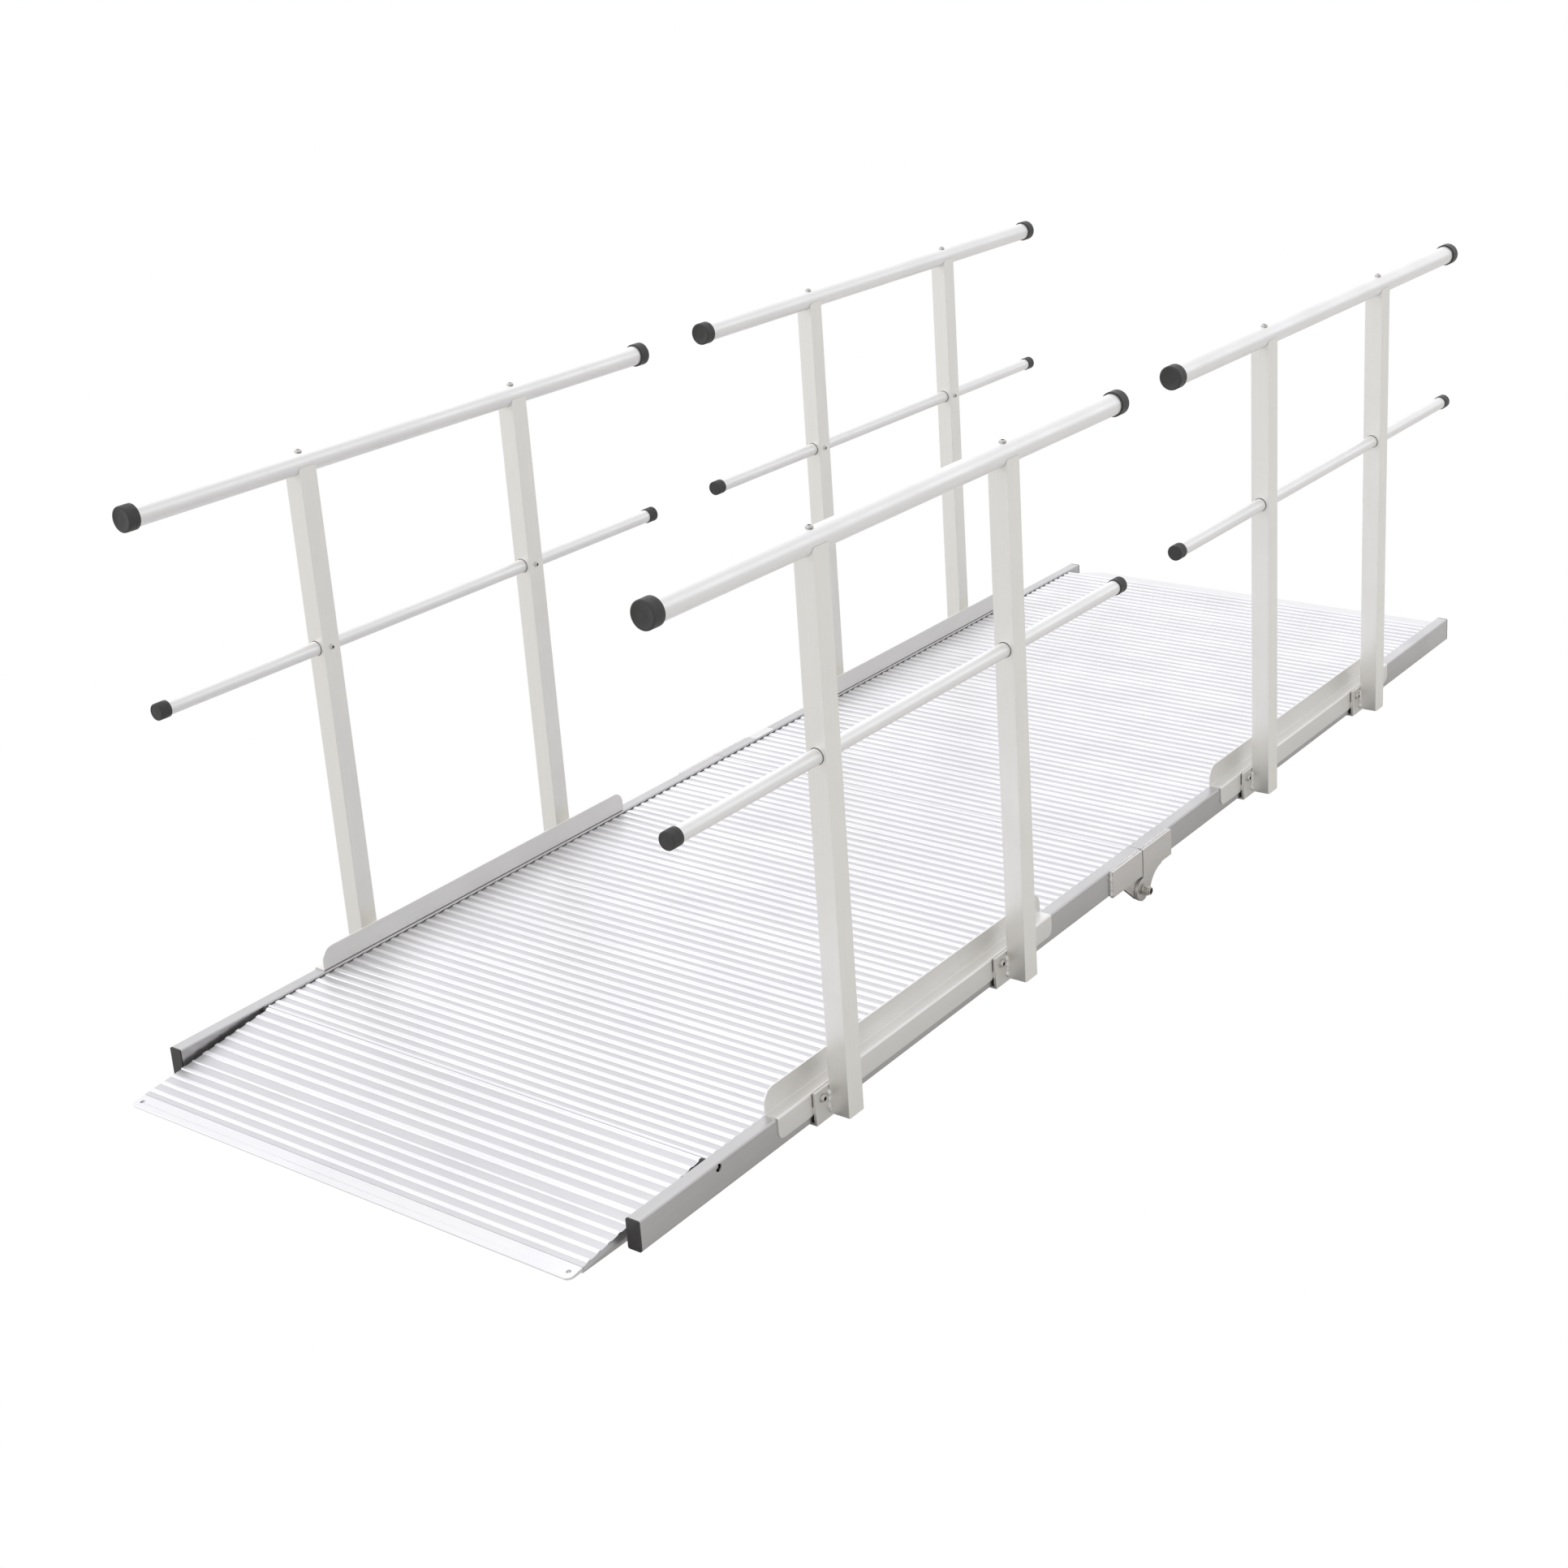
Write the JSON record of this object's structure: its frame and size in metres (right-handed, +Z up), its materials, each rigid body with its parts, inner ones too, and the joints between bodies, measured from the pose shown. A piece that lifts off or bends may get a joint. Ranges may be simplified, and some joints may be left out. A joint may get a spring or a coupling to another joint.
{
  "type": "portable wheelchair ramp",
  "caption": "Two-panel folding aluminium access ramp with ribbed planks, hinged ground flap, landing lip, kerb guards and clamp-on tube handrails",
  "frame": {"origin": "middle of the ramp's footprint, level with the lowest point of the fold hinge's arms", "axes": "+X across the ramp, +Y up the ramp from the ground flap to the landing lip, +Z up"},
  "size_m": [0.885, 2.4676, 0.7987],
  "materials": {
    "frame_aluminium": "satin, extruded",
    "deck_aluminium": "mill finish, ribbed",
    "sheet_aluminium": "satin sheet",
    "post_aluminium": "satin, extruded",
    "tube_aluminium": "pale satin anodised",
    "zinc_steel": "zinc plated",
    "black_plastic": "moulded, matt"
  },
  "bodies": {
    "front_panel": {"front_rail_left": "frame_aluminium", "front_rail_right": "frame_aluminium", "front_ledges": "frame_aluminium", "front_rail_plugs": "black_plastic", "front_plank_1": "deck_aluminium", "front_plank_2": "deck_aluminium", "front_plank_3": "deck_aluminium", "front_plank_4": "deck_aluminium", "front_plank_5": "deck_aluminium", "front_plank_6": "deck_aluminium", "front_plank_7": "deck_aluminium", "front_plank_8": "deck_aluminium", "flap_rod": "zinc_steel", "flap_spacers": "black_plastic", "front_hinge_plates": "frame_aluminium", "front_hinge_lugs": "frame_aluminium", "pivot_bolts": "zinc_steel", "pivot_washers": "zinc_steel", "pivot_nuts": "zinc_steel", "front_guard_left": "sheet_aluminium", "front_guard_right": "sheet_aluminium", "front_posts": "post_aluminium", "front_post_plugs": "black_plastic", "front_brackets": "post_aluminium", "front_clamp_bolts": "zinc_steel", "front_top_rail_left": "tube_aluminium", "front_top_rail_right": "tube_aluminium", "front_lower_rails": "tube_aluminium", "front_tube_caps": "black_plastic", "front_tube_screws": "zinc_steel"},
    "front_flap": {"flap_rear_plank": "deck_aluminium", "flap_front_plank": "deck_aluminium", "flap_nosing": "deck_aluminium", "flap_skirts": "frame_aluminium"},
    "rear_panel": {"rear_rail_left": "frame_aluminium", "rear_rail_right": "frame_aluminium", "rear_ledges": "frame_aluminium", "rear_rail_plugs": "black_plastic", "rear_plank_1": "deck_aluminium", "rear_plank_2": "deck_aluminium", "rear_plank_3": "deck_aluminium", "rear_plank_4": "deck_aluminium", "rear_plank_5": "deck_aluminium", "rear_plank_6": "deck_aluminium", "rear_plank_7": "deck_aluminium", "rear_plank_8": "deck_aluminium", "rear_plank_9": "deck_aluminium", "rear_lip": "deck_aluminium", "rear_hinge_arms": "frame_aluminium", "rear_guard_left": "sheet_aluminium", "rear_guard_right": "sheet_aluminium", "rear_posts": "post_aluminium", "rear_post_plugs": "black_plastic", "rear_brackets": "post_aluminium", "rear_clamp_bolts": "zinc_steel", "rear_top_rail_left": "tube_aluminium", "rear_top_rail_right": "tube_aluminium", "rear_lower_rails": "tube_aluminium", "rear_tube_caps": "black_plastic", "rear_tube_screws": "zinc_steel"}
  },
  "joints": [
    {"name": "fold", "type": "hinge", "parent": "front_panel", "child": "rear_panel", "pos_m": [0, 0.00519, 0.018], "axis": [-1, 0, 0], "range_deg": [0, 180]},
    {"name": "ground_flap", "type": "hinge", "parent": "front_panel", "child": "front_flap", "pos_m": [0, -0.99931, 0.0765], "axis": [1, 0, 0], "range_deg": [-105, 8]}
  ]
}
